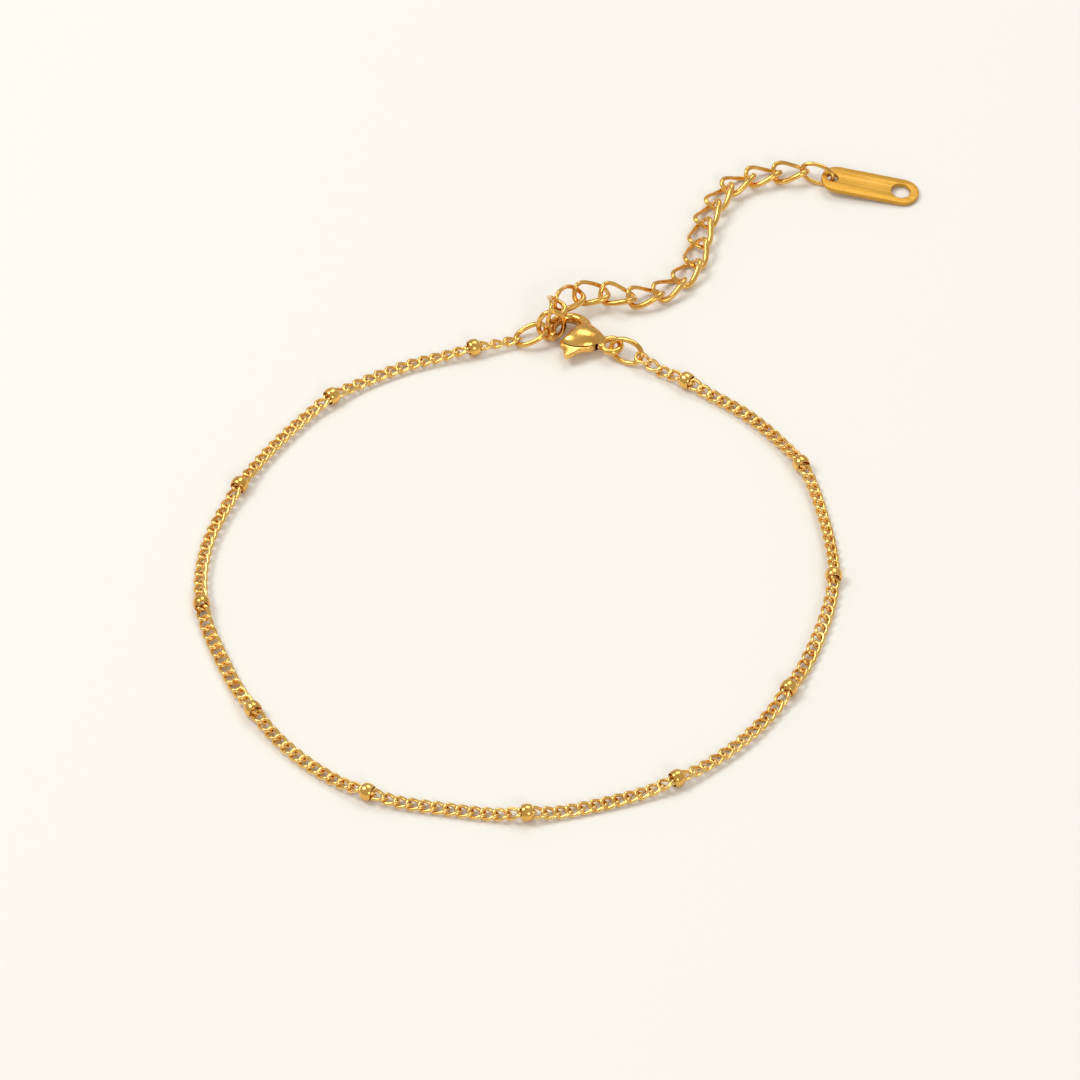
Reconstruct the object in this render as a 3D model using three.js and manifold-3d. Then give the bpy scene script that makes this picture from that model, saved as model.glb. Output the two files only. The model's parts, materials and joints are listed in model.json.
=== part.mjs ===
// Anklet of fine curb chain with round beads, closed by a lobster clasp, with a short
// extender chain and a plain end tag. It lies closed on a flat surface.
// Millimetres, +Z up. The last lines put the origin at the middle of the underside.

import * as THREE from 'three';
import { mergeVertices } from 'three/addons/utils/BufferGeometryUtils.js';
import Module from 'manifold-3d';

const wasm = await Module();
wasm.setup();

// Clearance between pieces that hang in, pass through or turn against each other
const clearance = 0.1;

// Fine chain, made here as one plain tube of its own bulk
const chainDiameter = 1.2;
const chainSides = 8;
const chainStep = 2.7;

// Width of the loop between the middles of the chain at its two sides
const loopWidth = 69.4;

// Beads, drilled for the chain
const beadWall = 0.22;
const beadPlay = 0.15;
const beadLength = 1.2;
const beadRounding = 0.22;
const beadSides = 14;

// Connector rings at the two ends of the fine chain, and the ring in the clasp
const ringWire = 0.6;
const ringLength = 4.4;
const ringWidth = 3.1;
const claspRingWidth = 3.5;
const ringPlay = 0.18;
const claspRingPlay = 0.42;
const ringSteps = 16;
const wireSides = 6;

// Extender chain of twisted curb links
const linkWire = 0.55;
const linkPitch = 3.2;
const linkWidth = 2.9;
const linkSlack = 0.2;
const linkTwist = -0.55;
const linkFill = 0.12;
const linkSteps = 16;

// Height of the joints where the extender lies low on the surface
const jointHeight = 1;

// End tag and the ring that carries it
const tagLength = 11.4;
const tagWidth = 3.8;
const tagThickness = 0.5;
const tagSmallHole = 1.3;
const tagLargeHole = 2.2;
const tagLargeHoleInset = 2.1;
const tagHoleRim = 0.65;
const tagRingWire = 0.5;
const tagRingLength = 4.3;
const tagRingWidth = 2.6;

// Lobster clasp: eyelet, arched hook, domed housing, lever and its pin
const eyeletHole = 1.3;
const eyeletRim = 0.8;
const housingThickness = 2.6;
const domeReach = { x: 3.5, y: 3.0 };
const domeMiddle = { x: 2.8, y: 0.2 };
const hookCentre = { x: 5.35, y: -0.2 };
const hookReach = 1.975;
const hookThickness = 1.1;
const hookHeight = 1.3;
const hookStart = -125;
const hookEnd = 58;
const leverThickness = 0.8;
const pinDiameter = 0.7;
const pinPlace = { x: 2.3, y: 0.5 };
const leverWall = 0.35;

// Where the clasp lies: its eyelet's middle, and the heading from the eyelet to the hook
const claspPlace = { x: 8.1, y: 28.4 };
const claspHeading = 156.5;

// How the rings lie: headings on the surface, rolls about their length, lean from upright
const rightRingHeading = -29;
const rightRingRoll = 55;
const claspRingHeading = 8;
const claspRingLean = 8;
const claspRingHookAngle = 16;
const leftRingHangAngle = 72;
const leftRingHeading = 191;
const leftRingEndHeight = 0.36;
const leftRingRoll = 0;
const tagRingHeading = -22;
const tagRingFall = 4;
const tagRingRoll = 62;
const tagHeading = -11;

// Finishes
const goldColour = 0xdca23a;
const paleGoldColour = 0xd69e30;

// Middle of the fine chain, from the left connector to the right one, brought to loopWidth.
// A row with a bead is a bead's middle, which lies a bead's radius above the surface.
const chainRoute = [
  { x: -7.5, y: 28.4, bead: true },
  { x: -15.6, y: 25.7, bead: false },
  { x: -23.4, y: 20.9, bead: true },
  { x: -29.2, y: 14.3, bead: false },
  { x: -33.4, y: 7.4, bead: true },
  { x: -36.8, y: -1.5, bead: false },
  { x: -37.1, y: -10.2, bead: true },
  { x: -34.7, y: -18.0, bead: false },
  { x: -31.1, y: -25.5, bead: true },
  { x: -25.6, y: -32.3, bead: false },
  { x: -18.5, y: -37.2, bead: true },
  { x: -10.0, y: -39.2, bead: false },
  { x: -1.4, y: -40.1, bead: true },
  { x: 6.9, y: -38.4, bead: false },
  { x: 14.7, y: -35.3, bead: true },
  { x: 21.7, y: -29.8, bead: false },
  { x: 27.0, y: -22.5, bead: true },
  { x: 30.6, y: -14.2, bead: false },
  { x: 32.3, y: -6.1, bead: true },
  { x: 31.3, y: 3.0, bead: false },
  { x: 29.1, y: 10.6, bead: true },
  { x: 23.7, y: 17.9, bead: false },
  { x: 16.5, y: 23.3, bead: true },
];

// Lie of each extender link from the clasp ring outwards: its heading on the surface, the
// height of the joint at its far end in jointHeights, and its roll about its own length
const extenderLie = [
  { heading: 74, endHeight: 2.95, roll: 60 },
  { heading: 43, endHeight: 2.3, roll: 44 },
  { heading: 14, endHeight: 1.65, roll: 24 },
  { heading: -10, endHeight: 1.3, roll: 4 },
  { heading: 18, endHeight: 1.05, roll: -2 },
  { heading: 40, endHeight: 0.95, roll: -6 },
  { heading: 59, endHeight: 0.95, roll: -8 },
  { heading: 80, endHeight: 1, roll: -9 },
  { heading: 79, endHeight: 1.1, roll: -15 },
  { heading: 68, endHeight: 1.1, roll: -18 },
  { heading: 60, endHeight: 1.1, roll: -18 },
  { heading: 33, endHeight: 1.05, roll: -14 },
  { heading: 13, endHeight: 1.05, roll: -7 },
  { heading: 2, endHeight: 1.25, roll: 0 },
];

const gold = new THREE.MeshStandardMaterial({ color: goldColour, roughness: 0.22, metalness: 1 });
const paleGold = new THREE.MeshStandardMaterial({ color: paleGoldColour, roughness: 0.4, metalness: 1 });
const anklet = new THREE.Group();

function addPiece(name, geometry, material) {
  const piece = new THREE.Mesh(geometry, material.clone());
  piece.name = name;
  anklet.add(piece);
  return piece;
}

// Local X runs along a direction; roll turns local Y up from the surface about it
function basisAlong(direction, rollDegrees) {
  const along = direction.clone().normalize();
  const side = new THREE.Vector3(0, 0, 1).cross(along).normalize();
  side.applyAxisAngle(along, THREE.MathUtils.degToRad(rollDegrees));
  const over = new THREE.Vector3().crossVectors(along, side);
  return new THREE.Matrix4().makeBasis(along, side, over);
}

function lay(piece, middle, direction, rollDegrees) {
  piece.position.copy(middle);
  piece.quaternion.setFromRotationMatrix(basisAlong(direction, rollDegrees));
}

function headingVector(degrees) {
  const angle = THREE.MathUtils.degToRad(degrees);
  return new THREE.Vector3(Math.cos(angle), Math.sin(angle), 0);
}

// Closed oval of wire; lift raises and lowers its quarters as in a twisted curb link, and
// fill brings its corners out towards a rounded square
class OvalPath extends THREE.Curve {
  constructor(length, width, lift = 0, fill = 0) {
    super();
    this.length = length;
    this.width = width;
    this.lift = lift;
    this.fill = fill;
  }

  getPoint(t, target = new THREE.Vector3()) {
    const angle = 2 * Math.PI * t;
    const twist = Math.sin(2 * angle);
    const fill = 1 + this.fill * twist ** 2;
    const x = (this.length / 2) * Math.cos(angle) * fill;
    const y = (this.width / 2) * Math.sin(angle) * fill;
    return target.set(x, y, this.lift * twist);
  }
}

function ovalRing(outerLength, outerWidth, wire, steps, lift = 0, fill = 0) {
  const path = new OvalPath(outerLength - wire, outerWidth - wire, lift, fill);
  return new THREE.TubeGeometry(path, steps, wire / 2, wireSides, true);
}

// Booleans on closed meshes
function toSolid(geometry) {
  const bare = geometry.index ? geometry.clone() : geometry;
  const stripped = new THREE.BufferGeometry();
  stripped.setAttribute('position', bare.getAttribute('position').clone());
  if (bare.index) stripped.setIndex(bare.index.clone());
  const merged = mergeVertices(stripped, 1e-4);
  const vertProperties = new Float32Array(merged.getAttribute('position').array);
  const triVerts = new Uint32Array(merged.index.array);
  return new wasm.Manifold(new wasm.Mesh({ numProp: 3, vertProperties, triVerts }));
}

function toGeometry(solid) {
  const mesh = solid.getMesh();
  const geometry = new THREE.BufferGeometry();
  geometry.setAttribute('position', new THREE.BufferAttribute(new Float32Array(mesh.vertProperties), 3));
  geometry.setIndex(new THREE.BufferAttribute(new Uint32Array(mesh.triVerts), 1));
  geometry.computeVertexNormals();
  return geometry;
}

// Flat outline raised evenly about the middle plane, with a rounded rim inside the outline
function slab(outline, thickness, rounding, segments) {
  const geometry = new THREE.ExtrudeGeometry(outline, {
    depth: thickness - 2 * rounding,
    bevelEnabled: rounding > 0,
    bevelThickness: rounding,
    bevelSize: rounding,
    bevelOffset: -rounding,
    bevelSegments: segments,
  });
  return geometry.translate(0, 0, rounding - thickness / 2);
}

// Smooth closed outline through its points
function splineShape(points, stepsPerPoint) {
  const curve = new THREE.CatmullRomCurve3(points.map(([x, y]) => new THREE.Vector3(x, y, 0)), true);
  const corners = curve.getPoints(points.length * stepsPerPoint).slice(0, -1);
  return new THREE.Shape(corners.map(({ x, y }) => new THREE.Vector2(x, y)));
}

function rod(diameter, height, sides) {
  return new THREE.CylinderGeometry(diameter / 2, diameter / 2, height, sides).rotateX(Math.PI / 2);
}

// Clasp in its own frame: the eyelet's middle at the origin, the hook towards +X,
// the lever on the +Y side, the middle plane at z = 0
const eyeletReach = (eyeletHole + eyeletRim) / 2;
const hookRadians = [hookStart, hookEnd].map(THREE.MathUtils.degToRad);

function hookPoint(angle) {
  const x = hookCentre.x + hookReach * Math.cos(angle);
  const y = hookCentre.y + hookReach * Math.sin(angle);
  return new THREE.Vector3(x, y, 0);
}

function hookGeometry() {
  const arcPoints = [];
  const arcSteps = 12;
  for (let i = 0; i <= arcSteps; i += 1) {
    arcPoints.push(hookPoint(THREE.MathUtils.lerp(hookRadians[0], hookRadians[1], i / arcSteps)));
  }
  const section = new THREE.Shape();
  section.absellipse(0, 0, hookHeight / 2, hookThickness / 2, 0, 2 * Math.PI);
  return new THREE.ExtrudeGeometry(section, {
    steps: 16,
    curveSegments: 5,
    bevelEnabled: false,
    extrudePath: new THREE.CatmullRomCurve3(arcPoints),
  });
}

const housingOutline = [
  [0.75, -0.75], [1.7, -1.5], [3.1, -2.0], [4.1, -1.95], [4.55, -1.3],
  [4.7, -0.2], [5.1, 0.8], [5.25, 1.75], [4.8, 2.4], [3.6, 2.4], [2.2, 1.85], [0.9, 0.95],
];

// The lever stands out of the housing as a thumb nub and closes on the hook's end
const leverOutline = [
  [pinPlace.x - pinDiameter / 2 - leverWall, pinPlace.y], [pinPlace.x + 0.1, pinPlace.y - pinDiameter / 2 - leverWall],
  [3.4, 0.75], [5.0, 1.3], [5.5, 1.8], [5.3, 2.4], [4.75, 2.75], [4.4, 3.5], [4.0, 3.75],
  [3.5, 3.3], [2.9, 2.3], [1.75, 1.45],
];

function claspBodySolid() {
  const hook = toSolid(hookGeometry());
  const dome = new THREE.SphereGeometry(1, 20, 10).rotateX(Math.PI / 2);
  dome.scale(domeReach.x, domeReach.y, housingThickness / 2).translate(domeMiddle.x, domeMiddle.y, 0);
  const housing = toSolid(slab(splineShape(housingOutline, 2), housingThickness, 0, 1)).intersect(toSolid(dome));
  const eyelet = toSolid(new THREE.TorusGeometry(eyeletReach, eyeletRim / 2, 8, 16));
  const slotHeight = leverThickness + 2 * clearance;
  const slotOutline = new THREE.Shape([
    new THREE.Vector2(pinPlace.x - 0.9, pinPlace.y + 0.1),
    new THREE.Vector2(pinPlace.x - 0.1, pinPlace.y - 0.9),
    new THREE.Vector2(5.9, -0.75),
    new THREE.Vector2(5.9, 3.6),
    new THREE.Vector2(2.0, 3.6),
    new THREE.Vector2(pinPlace.x - 0.9, pinPlace.y + 1.0),
  ]);
  const slot = toSolid(slab(slotOutline, slotHeight, 0, 1));
  const pin = toSolid(rod(pinDiameter, slotHeight + pinDiameter, 12).translate(pinPlace.x, pinPlace.y, 0));
  return housing.subtract(slot).add(hook).add(eyelet).add(pin);
}

function leverSolid() {
  const blade = toSolid(slab(splineShape(leverOutline, 2), leverThickness, 0.15, 1));
  const bore = rod(pinDiameter + 2 * clearance, 2 * leverThickness, 12).translate(pinPlace.x, pinPlace.y, 0);
  return blade.subtract(toSolid(bore));
}

const claspHeight = housingThickness / 2;
const claspMiddle = new THREE.Vector3(claspPlace.x, claspPlace.y, claspHeight);
const claspMatrix = new THREE.Matrix4().makeRotationZ(THREE.MathUtils.degToRad(claspHeading)).setPosition(claspMiddle);

for (const [name, solid] of [['clasp_body', claspBodySolid()], ['clasp_lever', leverSolid()]]) {
  const piece = addPiece(name, toGeometry(solid), gold);
  piece.applyMatrix4(claspMatrix);
}

// Right connector ring, through the eyelet and rolled up on its lower wire
const rightRingDirection = headingVector(rightRingHeading);
const ringHalf = (ringLength - ringWire) / 2;
const rightRingMiddle = claspMiddle.clone().addScaledVector(rightRingDirection, ringHalf);
rightRingMiddle.z = ringWire / 2 + Math.sin(THREE.MathUtils.degToRad(rightRingRoll)) * (ringWidth - ringWire) / 2;
const rightRing = addPiece('right_connector_ring', ovalRing(ringLength, ringWidth, ringWire, ringSteps), gold);
lay(rightRing, rightRingMiddle, rightRingDirection, rightRingRoll);

// Clasp ring, standing on the surface round the hook: its inner wire lies inside the hook
const claspRingSide = headingVector(claspRingHeading);
const claspRingRise = new THREE.Vector3(0, 0, 1)
  .applyAxisAngle(claspRingSide, -THREE.MathUtils.degToRad(claspRingLean));
const claspRingFace = new THREE.Vector3().crossVectors(claspRingRise, claspRingSide);
const claspRingSideHalf = (claspRingWidth - ringWire) / 2;
const claspRingHeight = ringWire / 2 + ringHalf * claspRingRise.z;
const insideReach = hookReach - hookThickness / 2 - ringWire / 2 - claspRingPlay;
const insideAngle = THREE.MathUtils.degToRad(claspRingHookAngle);
const insidePoint = new THREE.Vector3(
  hookCentre.x + insideReach * Math.cos(insideAngle), hookCentre.y + insideReach * Math.sin(insideAngle), 0)
  .applyMatrix4(claspMatrix);
const insideRise = (insidePoint.z - claspRingHeight) / claspRingRise.z;
const insideSide = claspRingSideHalf * Math.sqrt(1 - (insideRise / ringHalf) ** 2);
const claspRingMiddle = insidePoint.clone()
  .addScaledVector(claspRingRise, -insideRise).addScaledVector(claspRingSide, -insideSide);
const claspRing = addPiece('clasp_ring', ovalRing(ringLength, claspRingWidth, ringWire, ringSteps), gold);
claspRing.position.copy(claspRingMiddle);
claspRing.quaternion.setFromRotationMatrix(
  new THREE.Matrix4().makeBasis(claspRingRise, claspRingSide, claspRingFace));

// Left connector ring, hanging in the lower side of the clasp ring and lying down to the chain
const hangAngle = THREE.MathUtils.degToRad(leftRingHangAngle);
const hangPoint = claspRingMiddle.clone()
  .addScaledVector(claspRingRise, -ringHalf * Math.cos(hangAngle))
  .addScaledVector(claspRingSide, -claspRingSideHalf * Math.sin(hangAngle));
const hangInward = claspRingMiddle.clone().sub(hangPoint).normalize();
const leftRingStart = hangPoint.clone().addScaledVector(hangInward, ringWire + ringPlay);
const leftRingFall = Math.asin((leftRingStart.z - leftRingEndHeight) / (2 * ringHalf));
const leftRingDirection = headingVector(leftRingHeading).multiplyScalar(Math.cos(leftRingFall));
leftRingDirection.z = -Math.sin(leftRingFall);
const leftRingMiddle = leftRingStart.clone().addScaledVector(leftRingDirection, ringHalf);
const leftRing = addPiece('left_connector_ring', ovalRing(ringLength, ringWidth, ringWire, ringSteps), gold);
lay(leftRing, leftRingMiddle, leftRingDirection, leftRingRoll);

// Beads and the tube of the fine chain
const beadBore = chainDiameter + 2 * beadPlay;
const beadDiameter = beadBore + 2 * beadWall;
const chainEndGap = ringWire / 2 + clearance;

function chainEnd(ringMiddle, ringDirection) {
  return ringMiddle.clone().addScaledVector(ringDirection, ringHalf + chainEndGap);
}

const routeAcross = chainRoute.map(({ x }) => x);
const routeScale = loopWidth / (Math.max(...routeAcross) - Math.min(...routeAcross));
const chainPoints = chainRoute.map(({ x, y, bead }) => (
  new THREE.Vector3(x * routeScale, y * routeScale, (bead ? beadDiameter : chainDiameter) / 2)));
const leftEnd = chainEnd(leftRingMiddle, leftRingDirection);
leftEnd.z = Math.max(leftEnd.z, chainDiameter / 2);
chainPoints.unshift(leftEnd);
chainPoints.push(chainEnd(rightRingMiddle, rightRingDirection));
const chainCurve = new THREE.CatmullRomCurve3(chainPoints);

const chainSection = new THREE.Shape();
for (let i = 0; i < chainSides; i += 1) {
  const angle = (2 * Math.PI * (i + 0.5)) / chainSides;
  const corner = [(chainDiameter / 2) * Math.cos(angle), (chainDiameter / 2) * Math.sin(angle)];
  if (i === 0) chainSection.moveTo(...corner);
  else chainSection.lineTo(...corner);
}
chainSection.closePath();
addPiece('fine_chain', new THREE.ExtrudeGeometry(chainSection, {
  steps: Math.round(chainCurve.getLength() / chainStep),
  bevelEnabled: false,
  extrudePath: chainCurve,
}), gold);

function beadGeometry() {
  const inner = beadBore / 2;
  const outer = beadDiameter / 2;
  const half = beadLength / 2;
  const profile = [
    [inner, -half], [outer - beadRounding, -half], [outer, -half + beadRounding],
    [outer, half - beadRounding], [outer - beadRounding, half], [inner, half], [inner, -half],
  ].map(([x, y]) => new THREE.Vector2(x, y));
  return new THREE.LatheGeometry(profile, beadSides).rotateZ(-Math.PI / 2);
}

let beadCount = 0;
chainRoute.forEach(({ bead }, row) => {
  if (!bead) return;
  beadCount += 1;
  const t = (row + 1) / (chainPoints.length - 1);
  const piece = addPiece(`bead_${String(beadCount).padStart(2, '0')}`, beadGeometry(), gold);
  lay(piece, chainCurve.getPoint(t), chainCurve.getTangent(t), 0);
});

// Extender links, joint to joint from the top of the clasp ring. A joint lies midway
// between the two wires that cross there.
const linkOuterLength = linkPitch + 2 * linkWire + linkSlack;
const linkOverlap = (linkWire + linkSlack) / 2;
const firstCrossing = claspRingMiddle.clone().addScaledVector(claspRingRise, ringHalf);
const firstInset = (ringWire + linkWire) / 2 + ringPlay - linkOverlap;
let joint = firstCrossing.addScaledVector(headingVector(extenderLie[0].heading), -firstInset);
let linkDirection;
extenderLie.forEach(({ heading, endHeight, roll }, row) => {
  const rise = endHeight * jointHeight - joint.z;
  const run = Math.sqrt(linkPitch ** 2 - rise ** 2);
  const nextJoint = joint.clone().addScaledVector(headingVector(heading), run);
  nextJoint.z = endHeight * jointHeight;
  const name = `extender_link_${String(row + 1).padStart(2, '0')}`;
  const linkForm = ovalRing(linkOuterLength, linkWidth, linkWire, linkSteps, linkTwist, linkFill);
  const link = addPiece(name, linkForm, gold);
  const middle = joint.clone().add(nextJoint).multiplyScalar(0.5);
  linkDirection = nextJoint.clone().sub(joint).normalize();
  lay(link, middle, linkDirection, roll);
  joint = nextJoint;
});

// Tag ring, from the last link down to the end tag
const tagRingHalf = (tagRingLength - tagRingWire) / 2;
const tagRingDirection = headingVector(tagRingHeading);
tagRingDirection.z = -Math.sin(THREE.MathUtils.degToRad(tagRingFall));
tagRingDirection.normalize();
const lastWire = joint.clone().addScaledVector(linkDirection, linkOverlap);
const tagRingStart = lastWire.clone()
  .addScaledVector(tagRingDirection, -(linkWire + tagRingWire) / 2 - ringPlay);
const tagRingMiddle = tagRingStart.clone().addScaledVector(tagRingDirection, tagRingHalf);
const tagRing = addPiece('tag_ring', ovalRing(tagRingLength, tagRingWidth, tagRingWire, ringSteps), gold);
lay(tagRing, tagRingMiddle, tagRingDirection, tagRingRoll);

function tagGeometry() {
  const radius = tagWidth / 2;
  const straight = tagLength / 2 - radius;
  const outline = new THREE.Shape();
  outline.moveTo(-straight, -radius);
  outline.lineTo(straight, -radius);
  outline.absarc(straight, 0, radius, -Math.PI / 2, Math.PI / 2, false);
  outline.lineTo(-straight, radius);
  outline.absarc(-straight, 0, radius, Math.PI / 2, (3 * Math.PI) / 2, false);
  const smallHole = new THREE.Path();
  smallHole.absarc(-tagLength / 2 + tagHoleRim + tagSmallHole / 2, 0, tagSmallHole / 2, 0, 2 * Math.PI, true);
  const largeHole = new THREE.Path();
  largeHole.absarc(tagLength / 2 - tagLargeHoleInset, 0, tagLargeHole / 2, 0, 2 * Math.PI, true);
  outline.holes.push(smallHole, largeHole);
  return new THREE.ExtrudeGeometry(outline, { depth: tagThickness, bevelEnabled: false, curveSegments: 8 })
    .translate(0, 0, -tagThickness / 2);
}

// The tag slopes from the ring in its small hole down to its far end on the surface
const tagHoleMiddle = tagRingStart.clone().addScaledVector(tagRingDirection, 2 * tagRingHalf);
const tagHoleToMiddle = tagLength / 2 - tagHoleRim - tagSmallHole / 2;
const tagHoleToEnd = tagHoleToMiddle + tagLength / 2;
const tagFall = Math.asin((tagHoleMiddle.z - tagThickness / 2) / tagHoleToEnd);
const tagDirection = headingVector(tagHeading).multiplyScalar(Math.cos(tagFall));
tagDirection.z = -Math.sin(tagFall);
const tag = addPiece('end_tag', tagGeometry(), paleGold);
lay(tag, tagHoleMiddle.clone().addScaledVector(tagDirection, tagHoleToMiddle), tagDirection, 0);

// Origin at the middle of the underside
anklet.updateMatrixWorld(true);
const box = new THREE.Box3().setFromObject(anklet, true);
anklet.position.set(-(box.min.x + box.max.x) / 2, -(box.min.y + box.max.y) / 2, -box.min.z);

export default anklet;
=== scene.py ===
# Fine gold-coloured anklet with beads along its chain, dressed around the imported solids
import json
import math

import bmesh
import bpy
import numpy as np
from mathutils import Matrix, Vector

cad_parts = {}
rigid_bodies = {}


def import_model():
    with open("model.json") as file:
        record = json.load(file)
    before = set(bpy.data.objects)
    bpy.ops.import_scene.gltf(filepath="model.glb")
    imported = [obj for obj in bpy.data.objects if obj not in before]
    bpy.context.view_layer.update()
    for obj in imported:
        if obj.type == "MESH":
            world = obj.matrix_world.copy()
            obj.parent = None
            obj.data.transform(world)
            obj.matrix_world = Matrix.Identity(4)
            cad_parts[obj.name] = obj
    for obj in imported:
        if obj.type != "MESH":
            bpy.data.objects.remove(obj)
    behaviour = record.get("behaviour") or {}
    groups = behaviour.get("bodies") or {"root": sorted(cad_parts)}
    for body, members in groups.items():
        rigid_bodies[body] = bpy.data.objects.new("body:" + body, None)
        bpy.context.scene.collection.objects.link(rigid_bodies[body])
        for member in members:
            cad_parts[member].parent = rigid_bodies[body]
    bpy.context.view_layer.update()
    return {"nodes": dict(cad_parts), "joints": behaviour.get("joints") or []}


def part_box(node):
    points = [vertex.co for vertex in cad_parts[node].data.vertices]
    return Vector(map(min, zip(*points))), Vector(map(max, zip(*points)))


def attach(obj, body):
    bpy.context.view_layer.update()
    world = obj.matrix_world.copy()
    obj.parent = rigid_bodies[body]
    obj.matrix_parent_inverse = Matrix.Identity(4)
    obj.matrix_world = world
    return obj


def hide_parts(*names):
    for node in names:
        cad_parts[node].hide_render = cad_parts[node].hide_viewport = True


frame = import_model()
mm = 0.001
print("frame loaded")


# Small helpers for meshes

# A closed loop of n points pulls in when it is subdivided; this makes up for it
def cageGrowth(count):
    return 3 / (2 + math.cos(2 * math.pi / count))


def finishMesh(name, bm, levels=0):
    bmesh.ops.remove_doubles(bm, verts=bm.verts, dist=0.0005 * mm)
    bmesh.ops.recalc_face_normals(bm, faces=bm.faces)
    mesh = bpy.data.meshes.new(name)
    bm.to_mesh(mesh)
    bm.free()
    mesh.polygons.foreach_set("use_smooth", [True] * len(mesh.polygons))
    piece = bpy.data.objects.new(name, mesh)
    bpy.context.scene.collection.objects.link(piece)
    if levels:
        smooth = piece.modifiers.new("smooth", "SUBSURF")
        smooth.levels = levels
        smooth.render_levels = levels
    return piece


def dress(piece, material, slotName, body, *nodes):
    piece.data.materials.clear()
    piece.data.materials.append(material)
    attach(piece, body)
    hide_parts(*nodes)


# Wire oval about Z and long along X: a ring spun from the wire's round section, then drawn out.
# twist lifts and lowers its quarters as in a curb link; square fills out its corners a little,
# and heavy makes its -Y side thicker and the other one thinner.
def ovalWire(bm, length, width, wire, steps, sides, twist=0.0, square=0.0, heavy=0.0):
    spinRadius = 2 * wire
    radius = wire / 2 * cageGrowth(sides)
    section = bmesh.ops.create_circle(bm, segments=sides, radius=radius)["verts"]
    bmesh.ops.rotate(bm, verts=section, matrix=Matrix.Rotation(math.pi / 2, 3, "X"))
    bmesh.ops.translate(bm, verts=section, vec=(spinRadius, 0, 0))
    edges = [edge for edge in bm.edges if edge.verts[0] in section and edge.verts[1] in section]
    bmesh.ops.spin(bm, geom=section + edges, axis=(0, 0, 1), angle=2 * math.pi, steps=steps,
                   use_merge=True)
    halfLength = (length - wire) / 2 * cageGrowth(steps)
    halfWidth = (width - wire) / 2 * cageGrowth(steps)
    for vert in bm.verts:
        angle = math.atan2(vert.co.y, vert.co.x)
        bulk = 1 - heavy * math.sin(angle)
        out = (math.hypot(vert.co.x, vert.co.y) - spinRadius) * bulk
        fill = 1 + square * math.sin(2 * angle) ** 2
        normal = Vector((halfWidth * math.cos(angle), halfLength * math.sin(angle), 0)).normalized()
        vert.co.x = halfLength * math.cos(angle) * fill + normal.x * out
        vert.co.y = halfWidth * math.sin(angle) * fill + normal.y * out
        vert.co.z = vert.co.z * bulk + twist * cageGrowth(steps // 2) * math.sin(2 * angle)


# Flat form from smooth closed outlines, the later ones holes, made a mesh with a rounded rim
def flatForm(name, outlines, thickness, rounding, handle="AUTO"):
    curve = bpy.data.curves.new(name, "CURVE")
    curve.dimensions = "2D"
    curve.fill_mode = "BOTH"
    curve.resolution_u = 8
    curve.extrude = thickness / 2 - rounding
    curve.bevel_depth = rounding
    curve.bevel_resolution = 3
    curve.offset = -rounding
    for outline in outlines:
        spline = curve.splines.new("BEZIER")
        spline.bezier_points.add(len(outline) - 1)
        for point, (x, y) in zip(spline.bezier_points, outline):
            point.co = (x, y, 0)
            point.handle_left_type = handle
            point.handle_right_type = handle
        spline.use_cyclic_u = True
    holder = bpy.data.objects.new(name, curve)
    bpy.context.scene.collection.objects.link(holder)
    bpy.context.view_layer.update()
    shown = holder.evaluated_get(bpy.context.evaluated_depsgraph_get())
    mesh = bpy.data.meshes.new_from_object(shown)
    bpy.data.objects.remove(holder)
    return mesh


# Where a node lies: its middle and its own axes, from the longest to the shortest
def lieOf(node, towards=None):
    corners = np.array([vert.co for vert in frame["nodes"][node].data.vertices])
    corners = np.unique(corners.round(7), axis=0)
    middle = Vector(corners.mean(0))
    axes = np.linalg.eigh(np.cov(corners.T))[1]
    along, side = Vector(axes[:, 2]), Vector(axes[:, 1])
    if towards is not None and along.dot(towards - middle) < 0:
        along.negate()
    up = along.cross(side)
    if up.z < 0:
        side.negate()
        up.negate()
    lie = Matrix((along, side, up)).transposed().to_4x4()
    lie.translation = middle
    return lie


# Materials

def newGroup(name, inputs, outputs):
    group = bpy.data.node_groups.new(name, "ShaderNodeTree")
    for label, kind, value in inputs:
        socket = group.interface.new_socket(label, in_out="INPUT", socket_type=kind)
        socket.default_value = value
    for label, kind in outputs:
        group.interface.new_socket(label, in_out="OUTPUT", socket_type=kind)
    return group, group.nodes.new("NodeGroupInput"), group.nodes.new("NodeGroupOutput")


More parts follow.
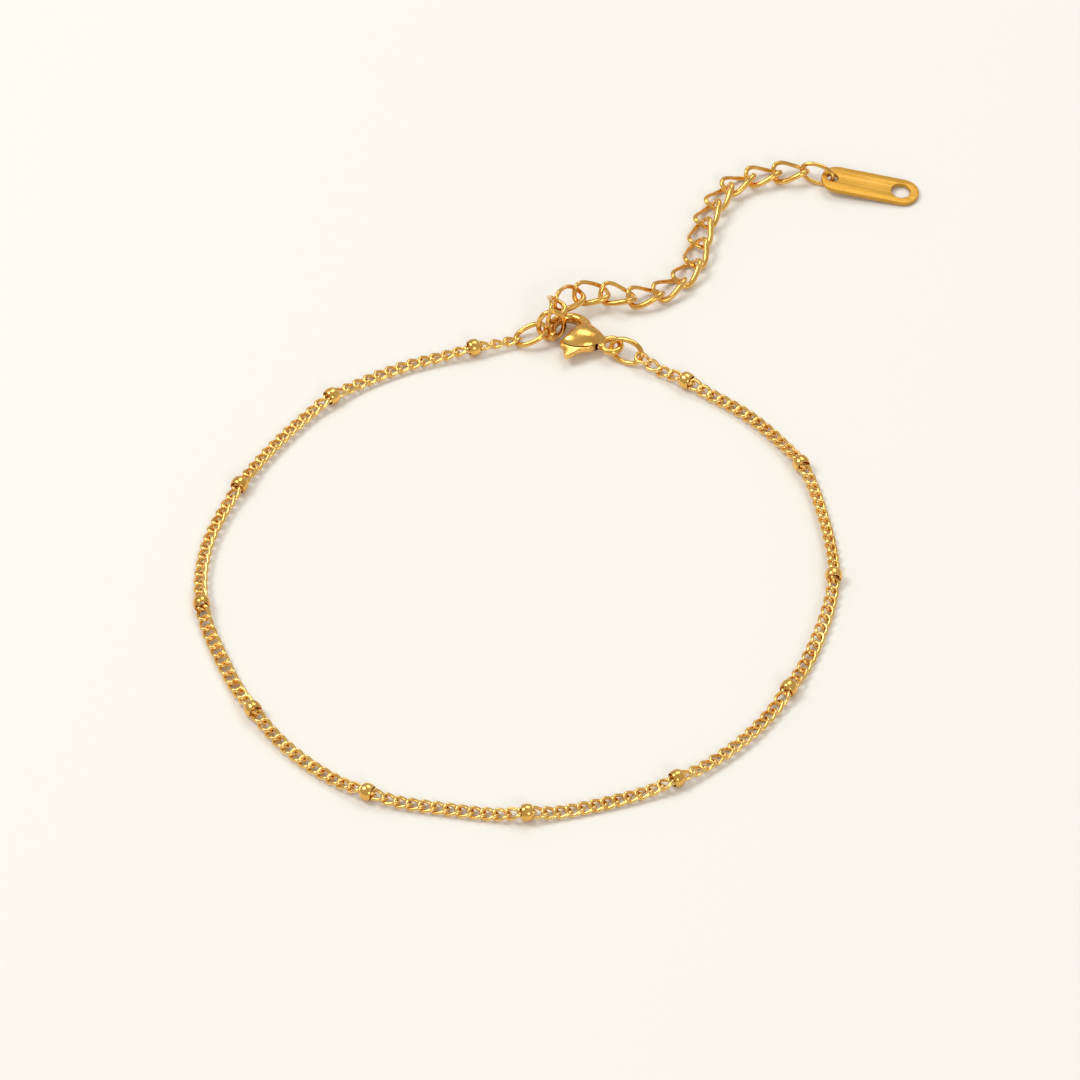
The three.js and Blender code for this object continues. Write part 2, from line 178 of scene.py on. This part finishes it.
# Gold tone that deepens in patches, and a polish that varies with it
def makeGoldTone():
    colourKind, floatKind = "NodeSocketColor", "NodeSocketFloat"
    group, given, result = newGroup("goldTone", [
        ("Bright", colourKind, (0.9, 0.55, 0.13, 1)), ("Deep", colourKind, (0.75, 0.38, 0.06, 1)),
        ("Patch Scale", floatKind, 600), ("Smear Scale", floatKind, 3000),
        ("Polish Low", floatKind, 0.12), ("Polish High", floatKind, 0.26),
    ], [("Color", colourKind), ("Roughness", floatKind)])
    nodes, links = group.nodes, group.links
    place = nodes.new("ShaderNodeTexCoord")
    patch = nodes.new("ShaderNodeTexNoise")
    patch.inputs["Detail"].default_value = 3
    smear = nodes.new("ShaderNodeTexNoise")
    smear.inputs["Detail"].default_value = 5
    smear.inputs["Roughness"].default_value = 0.62
    contrast = nodes.new("ShaderNodeMapRange")
    contrast.inputs["From Min"].default_value = 0.35
    contrast.inputs["From Max"].default_value = 0.65
    mix = nodes.new("ShaderNodeMix")
    mix.data_type = "RGBA"
    polish = nodes.new("ShaderNodeMapRange")
    polish.inputs["From Min"].default_value = 0.3
    polish.inputs["From Max"].default_value = 0.7
    links.new(place.outputs["Object"], patch.inputs["Vector"])
    links.new(place.outputs["Object"], smear.inputs["Vector"])
    links.new(given.outputs["Patch Scale"], patch.inputs["Scale"])
    links.new(given.outputs["Smear Scale"], smear.inputs["Scale"])
    links.new(patch.outputs["Fac"], contrast.inputs["Value"])
    links.new(contrast.outputs["Result"], mix.inputs["Factor"])
    links.new(given.outputs["Bright"], mix.inputs[6])
    links.new(given.outputs["Deep"], mix.inputs[7])
    links.new(smear.outputs["Fac"], polish.inputs["Value"])
    links.new(given.outputs["Polish Low"], polish.inputs["To Min"])
    links.new(given.outputs["Polish High"], polish.inputs["To Max"])
    links.new(mix.outputs[2], result.inputs["Color"])
    links.new(polish.outputs["Result"], result.inputs["Roughness"])
    return group


# Fine brushed lines along a heading, with a few deeper hairlines, as a height
def makeBrushedGrain():
    vectorKind, floatKind = "NodeSocketVector", "NodeSocketFloat"
    group, given, result = newGroup("brushedGrain", [
        ("Stretch", vectorKind, (2000, 30000, 30000)), ("Heading", vectorKind, (0, 0, 0)),
        ("Hairlines", floatKind, 0.4),
    ], [("Height", floatKind)])
    nodes, links = group.nodes, group.links
    place = nodes.new("ShaderNodeTexCoord")
    turn = nodes.new("ShaderNodeMapping")
    turn.vector_type = "TEXTURE"
    stretch = nodes.new("ShaderNodeVectorMath")
    stretch.operation = "MULTIPLY"
    grain = nodes.new("ShaderNodeTexNoise")
    grain.inputs["Scale"].default_value = 1
    grain.inputs["Detail"].default_value = 4
    hair = nodes.new("ShaderNodeTexNoise")
    hair.inputs["Scale"].default_value = 0.31
    hair.inputs["Detail"].default_value = 1
    pick = nodes.new("ShaderNodeMapRange")
    pick.inputs["From Min"].default_value = 0.62
    pick.inputs["From Max"].default_value = 0.7
    depth = nodes.new("ShaderNodeMath")
    depth.operation = "MULTIPLY"
    sink = nodes.new("ShaderNodeMath")
    sink.operation = "SUBTRACT"
    links.new(place.outputs["Object"], turn.inputs["Vector"])
    links.new(given.outputs["Heading"], turn.inputs["Rotation"])
    links.new(turn.outputs["Vector"], stretch.inputs[0])
    links.new(given.outputs["Stretch"], stretch.inputs[1])
    links.new(stretch.outputs["Vector"], grain.inputs["Vector"])
    links.new(stretch.outputs["Vector"], hair.inputs["Vector"])
    links.new(hair.outputs["Fac"], pick.inputs["Value"])
    links.new(pick.outputs["Result"], depth.inputs[0])
    links.new(given.outputs["Hairlines"], depth.inputs[1])
    links.new(grain.outputs["Fac"], sink.inputs[0])
    links.new(depth.outputs["Value"], sink.inputs[1])
    links.new(sink.outputs["Value"], result.inputs["Height"])
    return group


# Edges that handling has rubbed bright: a mask from how sharply the surface turns
def makeRimRub():
    floatKind, colourKind = "NodeSocketFloat", "NodeSocketColor"
    group, given, result = newGroup("rimRub", [
        ("Color", colourKind, (0.9, 0.55, 0.13, 1)), ("Rubbed", colourKind, (0.98, 0.7, 0.26, 1)),
        ("Amount", floatKind, 0.6),
    ], [("Color", colourKind)])
    nodes, links = group.nodes, group.links
    turn = nodes.new("ShaderNodeNewGeometry")
    edge = nodes.new("ShaderNodeMapRange")
    edge.inputs["From Min"].default_value = 0.52
    edge.inputs["From Max"].default_value = 0.62
    share = nodes.new("ShaderNodeMath")
    share.operation = "MULTIPLY"
    mix = nodes.new("ShaderNodeMix")
    mix.data_type = "RGBA"
    links.new(turn.outputs["Pointiness"], edge.inputs["Value"])
    links.new(edge.outputs["Result"], share.inputs[0])
    links.new(given.outputs["Amount"], share.inputs[1])
    links.new(share.outputs["Value"], mix.inputs["Factor"])
    links.new(given.outputs["Color"], mix.inputs[6])
    links.new(given.outputs["Rubbed"], mix.inputs[7])
    links.new(mix.outputs[2], result.inputs["Color"])
    return group


goldTone = makeGoldTone()
brushedGrain = makeBrushedGrain()
rimRub = makeRimRub()


def goldMaterial(name, look):
    material = bpy.data.materials.new(name)
    material.use_nodes = True
    nodes, links = material.node_tree.nodes, material.node_tree.links
    shader = nodes["Principled BSDF"]
    shader.inputs["Metallic"].default_value = 1
    shader.inputs["Coat Weight"].default_value = look["coat"]
    shader.inputs["Coat Roughness"].default_value = 0.1
    tone = nodes.new("ShaderNodeGroup")
    tone.node_tree = goldTone
    tone.inputs["Bright"].default_value = (*look["bright"], 1)
    tone.inputs["Deep"].default_value = (*look["deep"], 1)
    tone.inputs["Patch Scale"].default_value = look["patchScale"]
    tone.inputs["Smear Scale"].default_value = look["smearScale"]
    tone.inputs["Polish Low"].default_value = look["polish"][0]
    tone.inputs["Polish High"].default_value = look["polish"][1]
    rub = nodes.new("ShaderNodeGroup")
    rub.node_tree = rimRub
    rub.inputs["Rubbed"].default_value = (*look["rubbed"], 1)
    rub.inputs["Amount"].default_value = look["rubAmount"]
    grain = nodes.new("ShaderNodeGroup")
    grain.node_tree = brushedGrain
    grain.inputs["Stretch"].default_value = look["grainStretch"]
    grain.inputs["Heading"].default_value = (0, 0, math.radians(look["grainHeading"]))
    grain.inputs["Hairlines"].default_value = look["hairlines"]
    bump = nodes.new("ShaderNodeBump")
    bump.inputs["Strength"].default_value = look["grainStrength"]
    bump.inputs["Distance"].default_value = look["grainDepth"]
    links.new(tone.outputs["Color"], rub.inputs["Color"])
    links.new(rub.outputs["Color"], shader.inputs["Base Color"])
    links.new(tone.outputs["Roughness"], shader.inputs["Roughness"])
    links.new(grain.outputs["Height"], bump.inputs["Height"])
    links.new(bump.outputs["Normal"], shader.inputs["Normal"])
    return material


polishedGold = {
    "bright": (0.9, 0.53, 0.12), "deep": (0.74, 0.38, 0.06), "rubbed": (0.96, 0.68, 0.26),
    "patchScale": 500, "smearScale": 2500, "polish": (0.1, 0.24), "rubAmount": 0.5, "coat": 0.6,
    "grainStretch": (9000, 9000, 9000), "grainHeading": 0, "hairlines": 0.3,
    "grainStrength": 0.12, "grainDepth": 0.01 * mm,
}
claspGold = goldMaterial("claspGold", {
    **polishedGold, "polish": (0.14, 0.28), "grainStretch": (1800, 26000, 26000),
    "grainHeading": 156.5, "grainStrength": 0.2, "hairlines": 0.6})
ringGold = goldMaterial("ringGold", polishedGold)
chainGold = goldMaterial("chainGold", {
    **polishedGold, "bright": (0.94, 0.61, 0.18), "deep": (0.84, 0.48, 0.1), "patchScale": 260,
    "polish": (0.12, 0.26)})
beadGold = goldMaterial("beadGold", {**polishedGold, "polish": (0.08, 0.2)})
extenderGold = goldMaterial("extenderGold", {**polishedGold, "polish": (0.12, 0.28)})
tagGold = goldMaterial("tagGold", {
    **polishedGold, "bright": (0.64, 0.345, 0.05), "deep": (0.6, 0.315, 0.043), "patchScale": 350,
    "rubbed": (0.82, 0.5, 0.13), "polish": (0.4, 0.5), "coat": 0.1, "hairlines": 0.6,
    "grainStretch": (1500, 24000, 24000), "grainHeading": -11, "grainStrength": 0.14,
    "grainDepth": 0.012 * mm})
print("materials made")


# Camera at the photograph's angle. The chain's route is in the solids' first frame, whose origin
# the camera looks at; the middle bead's place says where that origin is now.
view = {"elevation": 48, "distance": 829.6 * mm, "lens": 250, "sensor": 36}
middleBead = {"node": "bead_07", "x": -1.4 * mm, "y": -40.1 * mm}
beadLow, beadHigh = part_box(middleBead["node"])
routeOrigin = (beadLow + beadHigh) / 2 - Vector((middleBead["x"], middleBead["y"], 0))
routeOrigin.z = 0
camera = bpy.data.objects.new("camera", bpy.data.cameras.new("camera"))
bpy.context.scene.collection.objects.link(camera)
bpy.context.scene.camera = camera
camera.data.lens = view["lens"]
camera.data.sensor_width = view["sensor"]
tilt = math.radians(view["elevation"])
camera.location = routeOrigin + view["distance"] * Vector((0, -math.cos(tilt), math.sin(tilt)))
camera.rotation_euler = (math.pi / 2 - tilt, 0, 0)


# Fine chain

chainRoute = [  # x, y and the links' roll in degrees; every second row is a bead
    (-7.5, 28.4, 24), (-15.6, 25.7, 12), (-23.4, 20.9, 17), (-29.2, 14.3, 21),
    (-33.4, 7.4, 24), (-36.8, -1.5, 28), (-37.1, -10.2, 25), (-34.7, -18.0, 13),
    (-31.1, -25.5, -17), (-25.6, -32.3, -2), (-18.5, -37.2, -17), (-10.0, -39.2, 0),
    (-1.4, -40.1, -3), (6.9, -38.4, 1), (14.7, -35.3, -20), (21.7, -29.8, -18),
    (27.0, -22.5, -4), (30.6, -14.2, 30), (32.3, -6.1, 42), (31.3, 3.0, 37),
    (29.1, 10.6, 24), (23.7, 17.9, 6), (16.5, 23.3, 2),
]
fineChain = {
    "wire": 0.44 * mm, "width": 1.74 * mm, "pitch": 1.335 * mm, "slack": 0.05 * mm,
    "twist": 0.215 * mm, "square": 0.03, "steps": 12, "sides": 6, "beadLinkWidth": 1.4 * mm,
    "beadLift": 2.2 * mm, "ringWire": 0.6 * mm, "startRoll": 25, "endRoll": 10,
    "endInset": 0.6, "slopeReach": 0.3 * mm, "lowTurns": (0.8, 0.95, 1.1, 1.25, 1.57),
}


# Spline through the points, by the square root of their spacing
def splineThrough(points, steps):
    padded = [2 * points[0] - points[1], *points, 2 * points[-1] - points[-2]]
    line = []
    for a, b, c, d in zip(padded, padded[1:], padded[2:], padded[3:]):
        gapA, gapB, gapC = (np.sqrt(np.linalg.norm(q - p)) for p, q in ((a, b), (b, c), (c, d)))
        leave = gapB * ((b - a) / gapA - (c - a) / (gapA + gapB) + (c - b) / gapB)
        reach = gapB * ((c - b) / gapB - (d - b) / (gapB + gapC) + (d - c) / gapC)
        for t in np.linspace(0, 1, steps, endpoint=False):
            line.append(b + t * leave + t * t * (3 * (c - b) - 2 * leave - reach)
                        + t ** 3 * (2 * (b - c) + leave + reach))
    return np.array([*line, points[-1]])


# Where a link's end wire lies inside the far end of a connector ring
def ringHold(node):
    lie = lieOf(node)
    along, middle = Vector(lie.col[0][:3]), lie.translation
    corners = [vert.co for vert in frame["nodes"][node].data.vertices]
    fromClasp = middle - frame["nodes"]["clasp_body"].data.vertices[0].co
    outward = along if fromClasp.dot(along) > 0 else -along
    reach = max((corner - middle).dot(outward) for corner in corners)
    inset = fineChain["wire"] * fineChain["endInset"]
    return middle + outward * (reach - fineChain["ringWire"] - inset)


holds = [ringHold("left_connector_ring"), ringHold("right_connector_ring")]
rows = [Vector((x * mm, y * mm, 0)) + routeOrigin for x, y, roll in chainRoute]
through = [np.array(p) for p in (holds[0].xy, *(row.xy for row in rows), holds[1].xy)]
splineSteps = 40
chainLine = splineThrough(through, splineSteps)
lineLength = np.concatenate([[0], np.cumsum(np.linalg.norm(np.diff(chainLine, axis=0), axis=1))])
rowLength = lineLength[splineSteps:-1:splineSteps]
beadLength = rowLength[::2]
rolls = [fineChain["startRoll"], *(roll for x, y, roll in chainRoute), fineChain["endRoll"]]
rollLength = [0, *rowLength, lineLength[-1]]
beadHeight = (beadLow.z + beadHigh.z) / 2


# A chain link's place: it lies on the surface as its roll and twist let it, sampled at a few
# turns about the link, and rises into a bead or ring
def chainPlace(length):
    flat = [np.interp(length, lineLength, chainLine[:, axis]) for axis in (0, 1)]
    roll = math.radians(np.interp(length, rollLength, rolls))
    half = (fineChain["width"] - fineChain["wire"]) / 2
    lean = half * abs(math.sin(roll))
    lowest = max(lean * math.sin(turn) + fineChain["twist"] * math.sin(2 * turn)
                 for turn in fineChain["lowTurns"])
    lying = fineChain["wire"] / 2 + lowest
    anchors = [(0, holds[0].z), (lineLength[-1], holds[1].z)]
    anchors += [(bead, beadHeight) for bead in beadLength]
    height = lying
    for anchor, anchorHeight in anchors:
        near = math.exp(-((length - anchor) / fineChain["beadLift"]) ** 2)
        height = max(height, lying + (anchorHeight - lying) * near)
    return Vector((*flat, height)), roll


def chainLie(length):
    reach = fineChain["slopeReach"]
    place, roll = chainPlace(length)
    along = (chainPlace(length + reach)[0] - chainPlace(length - reach)[0]).normalized()
    side = Vector((0, 0, 1)).cross(along).normalized()
    side = Matrix.Rotation(roll, 3, along) @ side
    lie = Matrix((along, side, along.cross(side))).transposed().to_4x4()
    lie.translation = place
    return lie


def linkCage(width):
    bm = bmesh.new()
    length = fineChain["pitch"] + 2 * fineChain["wire"] + fineChain["slack"]
    ovalWire(bm, length, width, fineChain["wire"], fineChain["steps"], fineChain["sides"],
             -fineChain["twist"], fineChain["square"])
    cage = bpy.data.meshes.new("linkCage")
    bm.to_mesh(cage)
    bm.free()
    return cage


def makeFineChain():
    openLink, beadLink = linkCage(fineChain["width"]), linkCage(fineChain["beadLinkWidth"])
    halfLink = (fineChain["pitch"] + fineChain["wire"] + fineChain["slack"]) / 2
    stops = [halfLink, *beadLength, lineLength[-1] - halfLink]
    places = [stops[0]]
    for start, end in zip(stops, stops[1:]):
        count = max(1, round((end - start) / fineChain["pitch"]))
        places += list(np.linspace(start, end, count + 1)[1:])
    bm = bmesh.new()
    for place in places:
        inBead = min(abs(place - bead) for bead in beadLength) < 0.01 * mm
        already = len(bm.verts)
        bm.from_mesh(beadLink if inBead else openLink)
        bm.verts.ensure_lookup_table()
        bmesh.ops.transform(bm, verts=bm.verts[already:], matrix=chainLie(place))
    piece = finishMesh("fineCurbChain", bm, 1)
    dress(piece, chainGold, "chain_gold", "anklet", "fine_chain")
    print("fine chain:", len(places), "links")


makeFineChain()


# Beads

bead = {
    "length": 1.24 * mm, "outer": 1.94 * mm, "bore": 1.5 * mm, "round": 0.3 * mm,
    "bulge": 0.02 * mm, "boreEase": 0.05 * mm, "steps": 20,
}


def makeBead(number):
    node = f"bead_{number + 1:02d}"
    bm = bmesh.new()
    half, outer, bore = bead["length"] / 2, bead["outer"] / 2, bead["bore"] / 2
    grow = cageGrowth(bead["steps"])
    rim = bead["round"]
    right = [(half - rim, outer), (half - rim * 0.25, outer - rim * 0.35),
             (half, bore + bead["boreEase"]), (half - rim * 0.3, bore)]
    left = [(-x, r) for x, r in reversed(right)]
    profile = [*left, (0, outer + bead["bulge"]), *right]
    verts = [bm.verts.new((x, r * grow, 0)) for x, r in profile]
    edges = [bm.edges.new(pair) for pair in zip(verts, verts[1:] + verts[:1])]
    bmesh.ops.spin(bm, geom=verts + edges, axis=(1, 0, 0), angle=2 * math.pi, steps=bead["steps"],
                   use_merge=True)
    lie = chainLie(beadLength[number])
    low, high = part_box(node)
    lie.translation = (low + high) / 2
    bmesh.ops.transform(bm, verts=bm.verts, matrix=lie)
    piece = finishMesh(f"roundBead{number + 1:02d}", bm, 2)
    dress(piece, beadGold, "bead_gold", "anklet", node)


for number in range(len(beadLength)):
    makeBead(number)
print("beads made")


# Connector rings, clasp ring and tag ring

rings = {
    "left_connector_ring": {"name": "leftConnectorRing", "length": 4.4, "width": 3.1, "wire": 0.6},
    "right_connector_ring": {"name": "rightConnectorRing", "length": 4.4, "width": 3.1,
                             "wire": 0.6},
    "clasp_ring": {"name": "claspRing", "length": 4.4, "width": 3.5, "wire": 0.6},
    "tag_ring": {"name": "tagRing", "length": 4.3, "width": 2.6, "wire": 0.5},
}
ringForm = {"square": 0.03, "steps": 20, "sides": 8, "levels": 2}

for node, ring in rings.items():
    bm = bmesh.new()
    ovalWire(bm, ring["length"] * mm, ring["width"] * mm, ring["wire"] * mm, ringForm["steps"],
             ringForm["sides"], 0, ringForm["square"])
    bmesh.ops.transform(bm, verts=bm.verts, matrix=lieOf(node))
    piece = finishMesh(ring["name"], bm, ringForm["levels"])
    dress(piece, ringGold, "ring_gold", "anklet", node)
print("rings made")


# Extender chain

extenderLink = {
    "count": 14, "length": 4.5 * mm, "width": 2.95 * mm, "wire": 0.61 * mm, "twist": 0.55 * mm,
    "square": 0.12, "heavy": 0.17, "steps": 16, "sides": 8, "levels": 2,
}

for number in range(1, extenderLink["count"] + 1):
    node = f"extender_link_{number:02d}"
    following = "tag_ring" if number == extenderLink["count"] else f"extender_link_{number + 1:02d}"
    bm = bmesh.new()
    ovalWire(bm, extenderLink["length"], extenderLink["width"], extenderLink["wire"],
             extenderLink["steps"], extenderLink["sides"], -extenderLink["twist"],
             extenderLink["square"], extenderLink["heavy"])
    bmesh.ops.transform(bm, verts=bm.verts, matrix=lieOf(node, lieOf(following).translation))
    piece = finishMesh(f"extenderLink{number:02d}", bm, extenderLink["levels"])
    dress(piece, extenderGold, "extender_gold", "anklet", node)
print("extender made")


# End tag

tag = {
    "length": 11.4 * mm, "width": 3.8 * mm, "thickness": 0.5 * mm, "rounding": 0.07 * mm,
    "smallHole": 1.3 * mm, "smallInset": 1.3 * mm, "largeHole": 2.2 * mm, "largeInset": 2.1 * mm,
}


def circlePoints(x, radius, count=8):
    turns = [2 * math.pi * step / count for step in range(count)]
    return [(x + radius * math.cos(turn), radius * math.sin(turn)) for turn in turns]


def stadiumPoints(length, width):
    radius = width / 2
    straight = length / 2 - radius
    turns = [math.radians(angle) for angle in range(-90, 91, 30)]
    right = [(straight + radius * math.cos(turn), radius * math.sin(turn)) for turn in turns]
    left = [(-x, -y) for x, y in right]
    middles = [(x, radius) for x in (straight * 0.9, 0, -straight * 0.9)]
    return right + middles + left + [(-x, -y) for x, y in middles]


# The small hole is at the end towards the tag ring
def makeTag():
    outlines = [
        stadiumPoints(tag["length"], tag["width"]),
        circlePoints(-tag["length"] / 2 + tag["smallInset"], tag["smallHole"] / 2),
        circlePoints(tag["length"] / 2 - tag["largeInset"], tag["largeHole"] / 2),
    ]
    ringMiddle = lieOf("tag_ring").translation
    lie = lieOf("end_tag")
    low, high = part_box("end_tag")
    if (ringMiddle - (low + high) / 2).dot(Vector(lie.col[0][:3])) > 0:
        lie = lie @ Matrix.Rotation(math.pi, 4, "Z")
    bm = bmesh.new()
    bm.from_mesh(flatForm("tagForm", outlines, tag["thickness"], tag["rounding"]))
    bmesh.ops.transform(bm, verts=bm.verts, matrix=lie)
    piece = finishMesh("endTag", bm)
    drift = (low + high) / 2 - sum((Vector(c) for c in piece.bound_box), Vector()) / 8
    piece.data.transform(Matrix.Translation(drift))
    dress(piece, tagGold, "tag_gold", "anklet", "end_tag")


makeTag()
print("tag made")


# Clasp, in its own frame: the eyelet's middle at the origin, the hook towards +X

clasp = {  # in millimetres
    "heading": 156.5, "pinX": 2.3, "pinY": 0.5, "eyeletHole": 1.3, "eyeletRim": 0.8,
    "hookX": 5.35, "hookY": -0.2, "hookReach": 1.975, "hookStart": -152, "hookEnd": 58,
    "hookThickness": 1.14, "hookHeight": 1.38, "rootThickness": 0.34, "rootHeight": 0.5,
    "hookStep": 6, "rootHeading": -80, "rootSpread": 60, "slotHeight": 1.0, "voxel": 0.06,
    "smoothing": 22, "loftSides": 24, "eyeletSides": 16, "eyeletSteps": 40, "sharpAngle": 45,
}
# The teardrop dome's sections from the eyelet on: place, half its width and half its height
domeSections = [(0.85, 0, 0.5, 0.4), (1.3, 0.05, 0.95, 0.74), (1.9, 0.12, 1.42, 1.02),
                (2.6, 0.18, 1.8, 1.22), (3.3, 0.25, 2.03, 1.31), (3.9, 0.32, 2.1, 1.31),
                (4.3, 0.5, 1.95, 1.26), (4.65, 0.9, 1.5, 1.15), (4.95, 1.35, 0.95, 0.98),
                (5.22, 1.7, 0.45, 0.72)]
slotOutline = [(1.3, 0.55), (2.15, -0.52), (5.9, -0.95), (5.9, 3.6), (2.0, 3.6), (1.3, 1.55)]
lever = {"thickness": 0.8, "rounding": 0.16}
leverOutline = [(1.6, 0.5), (2.4, -0.2), (3.4, 0.75), (5.0, 1.3), (5.5, 1.8), (5.3, 2.4),
                (4.75, 2.75), (4.4, 3.5), (4.0, 3.75), (3.5, 3.3), (2.9, 2.3), (1.75, 1.45)]


# From the clasp's own millimetres to where it lies
def claspFrame():
    pivot = Vector(frame["joints"][0]["pos_m"])
    turn = Matrix.Rotation(math.radians(clasp["heading"]), 4, "Z")
    turn = turn @ Matrix.Scale(mm, 4)
    return Matrix.Translation(pivot - turn @ Vector((clasp["pinX"], clasp["pinY"], 0))) @ turn


def applied(piece):
    bpy.context.view_layer.update()
    shown = piece.evaluated_get(bpy.context.evaluated_depsgraph_get())
    mesh = bpy.data.meshes.new_from_object(shown)
    piece.modifiers.clear()
    piece.data = mesh


# Closed skin over oval sections: x, y, the heading of the section, half its width and height
def loft(bm, sections):
    upright = Matrix.Rotation(math.pi / 2, 4, "X")
    loops = []
    for x, y, heading, half, rise in sections:
        verts = bmesh.ops.create_circle(bm, segments=clasp["loftSides"], radius=1)["verts"]
        place = Matrix.Translation((x, y, 0)) @ Matrix.Rotation(math.radians(heading), 4, "Z")
        place = place @ Matrix.Diagonal((half, 1, rise, 1)) @ upright
        bmesh.ops.transform(bm, verts=verts, matrix=place)
        loops.append((verts, list({edge for vert in verts for edge in vert.link_edges})))
    for (_, edges), (_, nextEdges) in zip(loops, loops[1:]):
        bmesh.ops.bridge_loops(bm, edges=edges + nextEdges)
    for verts, _ in (loops[0], loops[-1]):
        bmesh.ops.contextual_create(bm, geom=verts)


def hookSections():
    sections = []
    for heading in range(clasp["hookStart"], clasp["hookEnd"] + 1, clasp["hookStep"]):
        turn = math.radians(heading)
        root = min(1, max(0, (clasp["rootHeading"] - heading) / clasp["rootSpread"]))
        sections.append((clasp["hookX"] + clasp["hookReach"] * math.cos(turn),
                         clasp["hookY"] + clasp["hookReach"] * math.sin(turn), heading,
                         (clasp["hookThickness"] + clasp["rootThickness"] * root) / 2,
                         (clasp["hookHeight"] + clasp["rootHeight"] * root) / 2))
    return sections


def makeEyelet(bm):
    reach = (clasp["eyeletHole"] + clasp["eyeletRim"]) / 2
    rim = clasp["eyeletRim"] / 2
    verts = bmesh.ops.create_circle(bm, segments=clasp["eyeletSides"], radius=rim)["verts"]
    edges = list({edge for vert in verts for edge in vert.link_edges})
    bmesh.ops.rotate(bm, verts=verts, matrix=Matrix.Rotation(math.pi / 2, 3, "X"))
    bmesh.ops.translate(bm, verts=verts, vec=(reach, 0, 0))
    bmesh.ops.spin(bm, geom=verts + edges, axis=(0, 0, 1), angle=2 * math.pi,
                   steps=clasp["eyeletSteps"], use_merge=True)


def makeClaspBody():
    bm = bmesh.new()
    loft(bm, [(x, y, 90, half, rise) for x, y, half, rise in domeSections])
    loft(bm, hookSections())
    makeEyelet(bm)
    piece = finishMesh("claspBody", bm)
    fuse = piece.modifiers.new("fuse", "REMESH")
    fuse.mode = "VOXEL"
    fuse.voxel_size = clasp["voxel"]
    applied(piece)
    bm = bmesh.new()
    bm.from_mesh(piece.data)
    for turn in range(clasp["smoothing"]):
        bmesh.ops.smooth_vert(bm, verts=bm.verts, factor=0.5, use_axis_x=True, use_axis_y=True,
                              use_axis_z=True)
    bm.to_mesh(piece.data)
    bm.free()
    slotMesh = flatForm("slot", [slotOutline], clasp["slotHeight"], 0, "VECTOR")
    slot = bpy.data.objects.new("slot", slotMesh)
    bpy.context.scene.collection.objects.link(slot)
    cut = piece.modifiers.new("cut", "BOOLEAN")
    cut.operation = "DIFFERENCE"
    cut.solver = "EXACT"
    cut.object = slot
    applied(piece)
    bpy.data.objects.remove(slot)
    piece.data.transform(claspFrame())
    piece.data.polygons.foreach_set("use_smooth", [True] * len(piece.data.polygons))
    piece.data.set_sharp_from_angle(angle=math.radians(clasp["sharpAngle"]))
    dress(piece, claspGold, "clasp_gold", "anklet", "clasp_body")
    print("clasp body:", len(piece.data.polygons), "faces")


def makeLever():
    bm = bmesh.new()
    bm.from_mesh(flatForm("blade", [leverOutline], lever["thickness"], lever["rounding"]))
    bmesh.ops.transform(bm, verts=bm.verts, matrix=claspFrame())
    piece = finishMesh("claspLever", bm)
    dress(piece, claspGold, "clasp_gold", "lever", "clasp_lever")


makeClaspBody()
makeLever()
print("clasp made")


# Floor and light

stage = {
    "floor": 4.0, "floorColour": (0.9, 0.88, 0.83), "floorRoughness": 0.7,
    "world": (0.8, 0.78, 0.74), "worldStrength": 0.71,
}
lights = {  # place, size and power of each soft light
    "key": {"at": (-0.55, 0.1, 0.85), "size": 0.4, "power": 3.75},
    "top": {"at": (0.15, 0.55, 0.9), "size": 0.5, "power": 2.1},
    "front": {"at": (0.3, -0.85, 0.6), "size": 0.3, "power": 1.6},
}


def makeStage():
    bm = bmesh.new()
    bmesh.ops.create_grid(bm, x_segments=1, y_segments=1, size=stage["floor"] / 2)
    mesh = bpy.data.meshes.new("floor")
    bm.to_mesh(mesh)
    bm.free()
    floor = bpy.data.objects.new("floor", mesh)
    bpy.context.scene.collection.objects.link(floor)
    pale = bpy.data.materials.new("paleFloor")
    pale.use_nodes = True
    shader = pale.node_tree.nodes["Principled BSDF"]
    shader.inputs["Base Color"].default_value = (*stage["floorColour"], 1)
    shader.inputs["Roughness"].default_value = stage["floorRoughness"]
    mesh.materials.append(pale)
    world = bpy.data.worlds.new("studio")
    world.use_nodes = True
    background = world.node_tree.nodes["Background"]
    background.inputs["Color"].default_value = (*stage["world"], 1)
    background.inputs["Strength"].default_value = stage["worldStrength"]
    bpy.context.scene.world = world
    for name, settings in lights.items():
        lamp = bpy.data.objects.new(name, bpy.data.lights.new(name, "AREA"))
        lamp.data.size = settings["size"]
        lamp.data.energy = settings["power"]
        lamp.location = settings["at"]
        lamp.rotation_euler = Vector(settings["at"]).to_track_quat("Z", "Y").to_euler()
        bpy.context.scene.collection.objects.link(lamp)


makeStage()
bpy.context.scene.view_settings.view_transform = "Standard"
print("stage set")
